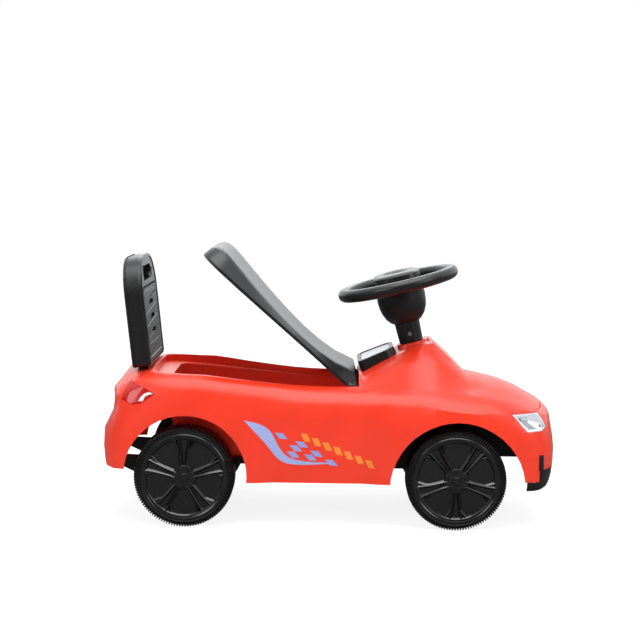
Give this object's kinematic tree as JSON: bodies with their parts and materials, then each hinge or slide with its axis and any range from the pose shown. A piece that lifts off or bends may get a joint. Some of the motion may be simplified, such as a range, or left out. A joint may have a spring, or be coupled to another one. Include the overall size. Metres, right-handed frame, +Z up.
{
  "type": "foot-to-floor ride-on car",
  "caption": "Moulded ride-on toy car pushed along by the feet, with a lift-up seat over a storage tub, a handled backrest, a steering wheel with a horn pad, and steered front wheels.",
  "frame": {"origin": "on the floor, midway along the car and on its centre plane, with all four wheels standing on z = 0", "axes": "+X to the nose of the car, +Y to the driver's left hand, +Z up"},
  "size_m": [0.6229, 0.267, 0.374],
  "materials": {
    "body_red": "glossy moulded orange-red",
    "tub_red": "glossy moulded orange-red",
    "headlight_lens": "glossy pale grey lamp insert with a white border",
    "taillight_lens": "glossy deep red lamp insert",
    "black_trim": "fine grained black",
    "black_plastic": "low-sheen black",
    "satin_black": "satin black with a soft sheen",
    "wheel_black": "blow-moulded matt black",
    "wheel_trim": "semi-gloss black",
    "dial_silver": "satin silver",
    "nylon": "natural white",
    "steel": "bright drawn wire and rod"
  },
  "bodies": {
    "car_body": {"body_shell": "body_red", "storage_tub": "tub_red", "headlight_right": "headlight_lens", "headlight_left": "headlight_lens", "taillight_right": "taillight_lens", "taillight_left": "taillight_lens", "fog_insert_right": "black_trim", "fog_insert_left": "black_trim", "front_grille": "black_trim", "front_bumper": "black_trim", "seat_hinge_rod": "steel", "chassis_tray": "black_trim", "axle_clamp_right": "black_trim", "axle_clamp_left": "black_trim", "axle_spacer_right": "nylon", "axle_spacer_left": "nylon", "rear_axle": "steel", "backrest_frame": "black_plastic", "backrest_panel": "satin_black", "gauge_housing": "black_plastic", "gauge_face": "dial_silver", "column_bush": "nylon", "front_subframe": "black_trim", "kingpin_right": "steel", "kingpin_left": "steel"},
    "seat": {"seat_lid": "satin_black"},
    "steering": {"steering_wheel": "black_plastic", "music_pad": "satin_black", "music_box": "black_plastic", "steering_neck": "black_plastic", "neck_screw": "steel", "steering_rod": "steel"},
    "horn": {"horn_button": "black_plastic"},
    "right_knuckle": {"knuckle_right": "black_trim"},
    "left_knuckle": {"knuckle_left": "black_trim"},
    "tie": {"tie_rod": "steel"},
    "rear_right_wheel": {"wheel_rear_right": "wheel_black", "wheel_trim_rear_right": "wheel_trim", "hub_cap_rear_right": "wheel_trim"},
    "rear_left_wheel": {"wheel_rear_left": "wheel_black", "wheel_trim_rear_left": "wheel_trim", "hub_cap_rear_left": "wheel_trim"},
    "front_right_wheel": {"wheel_front_right": "wheel_black", "wheel_trim_front_right": "wheel_trim", "hub_cap_front_right": "wheel_trim"},
    "front_left_wheel": {"wheel_front_left": "wheel_black", "wheel_trim_front_left": "wheel_trim", "hub_cap_front_left": "wheel_trim"}
  },
  "joints": [
    {"name": "seat_lift", "type": "hinge", "parent": "car_body", "child": "seat", "pos_m": [0.044, 0, 0.186], "axis": [0, 1, 0], "range_deg": [-36.8, 0]},
    {"name": "steering_turn", "type": "hinge", "parent": "car_body", "child": "steering", "pos_m": [0.0945, 0, 0.322], "axis": [-0.2419, 0, 0.9703], "range_deg": [-20, 20]},
    {"name": "horn_push", "type": "slide", "parent": "steering", "child": "horn", "axis": [0.2419, 0, -0.9703], "range_m": [0, 0.0015], "stiffness_N_per_m": 600, "springref_m": -0.0005},
    {"name": "right_kingpin", "type": "hinge", "parent": "car_body", "child": "right_knuckle", "pos_m": [0.1715, -0.075, 0.0675], "axis": [0, 0, 1], "range_deg": [-20, 20]},
    {"name": "left_kingpin", "type": "hinge", "parent": "car_body", "child": "left_knuckle", "pos_m": [0.1715, 0.075, 0.0675], "axis": [0, 0, 1], "range_deg": [-20, 20]},
    {"name": "tie_rod_pin", "type": "hinge", "parent": "left_knuckle", "child": "tie", "pos_m": [0.1415, 0.075, 0.08], "axis": [0, 0, 1], "range_deg": [-20, 20]},
    {"name": "rear_right_spin", "type": "hinge", "parent": "car_body", "child": "rear_right_wheel", "pos_m": [-0.193, -0.109, 0.0675], "axis": [0, 1, 0], "continuous": true},
    {"name": "rear_left_spin", "type": "hinge", "parent": "car_body", "child": "rear_left_wheel", "pos_m": [-0.193, 0.109, 0.0675], "axis": [0, 1, 0], "continuous": true},
    {"name": "front_right_spin", "type": "hinge", "parent": "right_knuckle", "child": "front_right_wheel", "pos_m": [0.1715, -0.109, 0.0675], "axis": [0, 1, 0], "continuous": true},
    {"name": "front_left_spin", "type": "hinge", "parent": "left_knuckle", "child": "front_left_wheel", "pos_m": [0.1715, 0.109, 0.0675], "axis": [0, 1, 0], "continuous": true}
  ],
  "couplings": [
    {"joint": "right_kingpin", "follows": "steering_turn", "ratio": 1},
    {"joint": "left_kingpin", "follows": "steering_turn", "ratio": 1},
    {"joint": "tie_rod_pin", "follows": "steering_turn", "ratio": -1}
  ]
}
